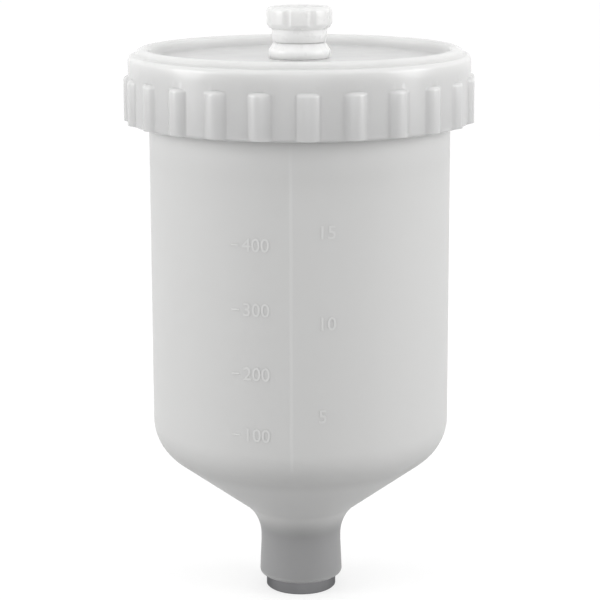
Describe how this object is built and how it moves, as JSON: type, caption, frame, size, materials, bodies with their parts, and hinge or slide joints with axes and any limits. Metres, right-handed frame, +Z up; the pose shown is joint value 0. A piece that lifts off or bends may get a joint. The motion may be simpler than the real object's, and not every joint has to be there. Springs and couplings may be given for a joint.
{
  "type": "gravity feed paint cup with lid",
  "caption": "Gravity-feed paint cup: translucent straight-walled cup with a cone and neck, ribbed screw lid, pull-up vent cap and a metal threaded outlet.",
  "frame": {"origin": "centre of the outlet's end face, at the bottom of the cup", "axes": "+Z up the cup's axis towards the lid, -Y towards the front, where the graduations are"},
  "size_m": [0.0998, 0.0998, 0.1707],
  "materials": {
    "cup_plastic": "translucent white moulded plastic, satin",
    "lid_plastic": "translucent white moulded plastic, soft gloss",
    "vent_plastic": "white moulded plastic, soft gloss",
    "insert_metal": "turned stainless steel",
    "gasket_rubber": "solvent-proof white elastomer, matte"
  },
  "bodies": {
    "cup": {"cup_body": "cup_plastic", "outlet_insert": "insert_metal"},
    "gasket": {"lid_gasket": "gasket_rubber"},
    "lid": {"screw_lid": "lid_plastic", "vent_body": "vent_plastic"},
    "vent_ring": {"vent_seal_ring": "gasket_rubber"},
    "vent": {"vent_cap": "vent_plastic"}
  },
  "joints": [
    {"name": "lid_rise", "type": "slide", "parent": "cup", "child": "gasket", "axis": [0, 0, 1], "range_m": [0, 0.0401]},
    {"name": "lid_turn", "type": "hinge", "parent": "gasket", "child": "lid", "pos_m": [0, 0, 0.1528], "axis": [0, 0, 1], "range_deg": [0, 1800]},
    {"name": "vent_pull", "type": "slide", "parent": "lid", "child": "vent_ring", "axis": [0, 0, 1], "range_m": [0, 0.0027]},
    {"name": "vent_turn", "type": "hinge", "parent": "vent_ring", "child": "vent", "pos_m": [0, 0, 0.1633], "axis": [0, 0, 1], "continuous": true}
  ],
  "couplings": [
    {"joint": "lid_rise", "follows": "lid_turn", "m_per_rad": 0.0012732}
  ]
}
